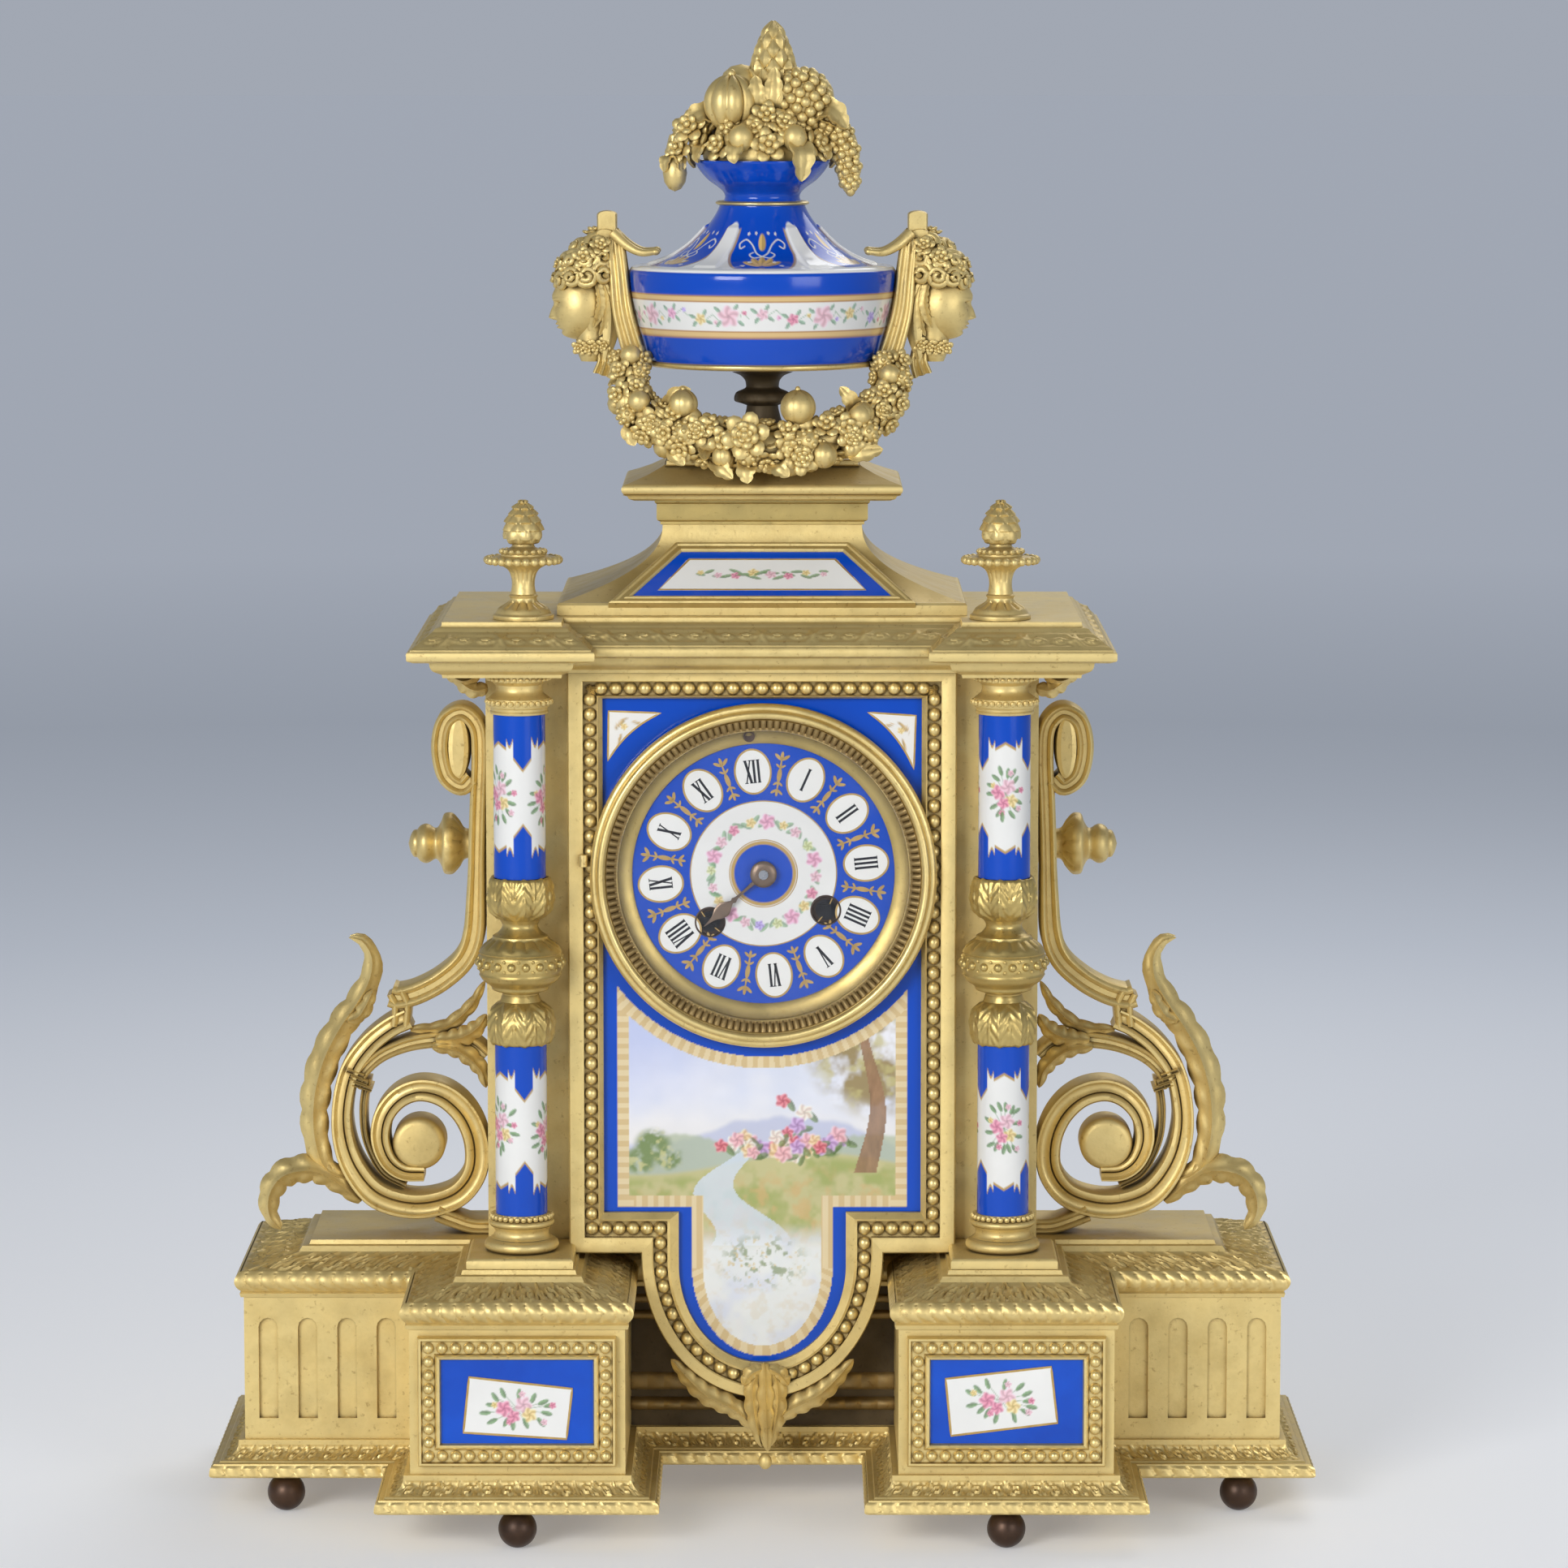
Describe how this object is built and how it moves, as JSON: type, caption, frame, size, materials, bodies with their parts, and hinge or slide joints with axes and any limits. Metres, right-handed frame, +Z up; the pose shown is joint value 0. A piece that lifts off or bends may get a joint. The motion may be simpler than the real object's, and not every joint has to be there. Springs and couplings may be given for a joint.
{
  "type": "porcelain mantel clock",
  "caption": "Gilt metal mantel clock with painted porcelain panels, columns and urn on a stepped base, a round striking movement, a hinged glazed bezel and a back door.",
  "frame": {"origin": "under the middle of the base, on the surface that the clock stands on", "axes": "+Z up, the dial faces -Y, +X to the right as seen from the front"},
  "size_m": [0.3452, 0.1492, 0.4632],
  "materials": {
    "gilt": "gilded cast metal, satin and a little worn, darker in the recesses",
    "brass": "lacquered sheet and turned brass",
    "steel": "polished steel",
    "white_porcelain": "glazed, painted in colours with gold lines",
    "blue_porcelain": "glazed cobalt blue ground with white fields and gold lines",
    "dark_brown": "dark brown patina",
    "glass": "clear, thin and slightly domed"
  },
  "bodies": {
    "case": {"left_front_foot": "dark_brown", "right_front_foot": "dark_brown", "left_wing_foot": "dark_brown", "right_wing_foot": "dark_brown", "left_back_foot": "dark_brown", "right_back_foot": "dark_brown", "base_skirt": "gilt", "base_block": "gilt", "left_pedestal": "gilt", "right_pedestal": "gilt", "left_pedestal_plaque": "blue_porcelain", "right_pedestal_plaque": "blue_porcelain", "base_cap": "gilt", "body_shell": "gilt", "front_frame": "gilt", "front_panel": "blue_porcelain", "dial": "blue_porcelain", "dial_surround": "gilt", "movement_front_plate": "brass", "movement_back_plate": "brass", "bell": "brass", "left_column_base": "gilt", "right_column_base": "gilt", "left_lower_sleeve": "white_porcelain", "right_lower_sleeve": "white_porcelain", "left_column_knop": "gilt", "right_column_knop": "gilt", "left_upper_sleeve": "white_porcelain", "right_upper_sleeve": "white_porcelain", "left_capital": "gilt", "right_capital": "gilt", "cornice": "gilt", "left_finial": "gilt", "right_finial": "gilt", "left_scroll_bracket": "gilt", "right_scroll_bracket": "gilt", "roof": "gilt", "roof_plaque": "blue_porcelain", "urn_stem": "gilt", "urn_belly": "white_porcelain", "urn_cup": "blue_porcelain", "fruit": "gilt", "left_mask": "gilt", "right_mask": "gilt", "garland": "gilt"},
    "bezel": {"bezel": "gilt", "bezel_glass": "glass"},
    "back_door": {"back_door": "brass"},
    "minute_arbor": {"minute_arbor": "brass"},
    "hour": {"hour_wheel": "brass", "hour_hand": "dark_brown"},
    "going_barrel": {"going_barrel": "brass"},
    "strike_barrel": {"strike_barrel": "brass"},
    "going_winder": {"going_winder": "steel"},
    "strike_winder": {"strike_winder": "steel"},
    "escape_wheel": {"escape_wheel": "brass"},
    "anchor": {"anchor": "steel"},
    "pendulum": {"pendulum": "brass"},
    "regulator": {"regulator": "steel"},
    "hammer": {"hammer": "steel"}
  },
  "joints": [
    {"name": "bezel_hinge", "type": "hinge", "parent": "case", "child": "bezel", "pos_m": [-0.0551, -0.025, 0.2011], "axis": [0, 0, -1], "range_deg": [0, 95]},
    {"name": "door_hinge", "type": "hinge", "parent": "case", "child": "back_door", "pos_m": [-0.0483, 0.06, 0.2011], "axis": [0, 0, 1], "range_deg": [0, 110]},
    {"name": "minute_arbor_turn", "type": "hinge", "parent": "case", "child": "minute_arbor", "pos_m": [0.0004, -0.02, 0.2011], "axis": [0, 1, 0], "continuous": true},
    {"name": "hour_turn", "type": "hinge", "parent": "case", "child": "hour", "pos_m": [0.0004, -0.02, 0.2011], "axis": [0, 1, 0], "continuous": true},
    {"name": "going_barrel_turn", "type": "hinge", "parent": "case", "child": "going_barrel", "pos_m": [0.01968, -0.005, 0.18962], "axis": [0, 1, 0], "continuous": true},
    {"name": "strike_barrel_turn", "type": "hinge", "parent": "case", "child": "strike_barrel", "pos_m": [-0.01613, -0.005, 0.18592], "axis": [0, 1, 0], "continuous": true},
    {"name": "going_winder_turn", "type": "hinge", "parent": "case", "child": "going_winder", "pos_m": [0.01968, -0.005, 0.18962], "axis": [0, 1, 0], "range_deg": [0, 1440]},
    {"name": "strike_winder_turn", "type": "hinge", "parent": "case", "child": "strike_winder", "pos_m": [-0.01613, -0.005, 0.18592], "axis": [0, 1, 0], "range_deg": [0, 1440]},
    {"name": "escape_wheel_turn", "type": "hinge", "parent": "case", "child": "escape_wheel", "pos_m": [-0.00166, 0, 0.22099], "axis": [0, 1, 0], "continuous": true},
    {"name": "pendulum_swing", "type": "hinge", "parent": "case", "child": "pendulum", "pos_m": [-0.00299, 0.0244, 0.23392], "axis": [0, 1, 0], "range_deg": [-3, 3]},
    {"name": "anchor_rock", "type": "hinge", "parent": "case", "child": "anchor", "pos_m": [-0.00299, 0.0244, 0.23392], "axis": [0, 1, 0], "range_deg": [-3, 3]},
    {"name": "regulator_turn", "type": "hinge", "parent": "case", "child": "regulator", "pos_m": [-0.00403, 0, 0.24397], "axis": [0, 1, 0], "range_deg": [-360, 360]},
    {"name": "hammer_swing", "type": "hinge", "parent": "case", "child": "hammer", "pos_m": [-0.02718, 0.03, 0.17613], "axis": [0, -1, 0], "range_deg": [0, 15], "stiffness_Nm_per_rad": 0.002}
  ],
  "couplings": [
    {"joint": "hour_turn", "follows": "minute_arbor_turn", "ratio": 0.083333},
    {"joint": "going_barrel_turn", "follows": "minute_arbor_turn", "ratio": 0.027778},
    {"joint": "anchor_rock", "follows": "pendulum_swing", "ratio": 1}
  ]
}
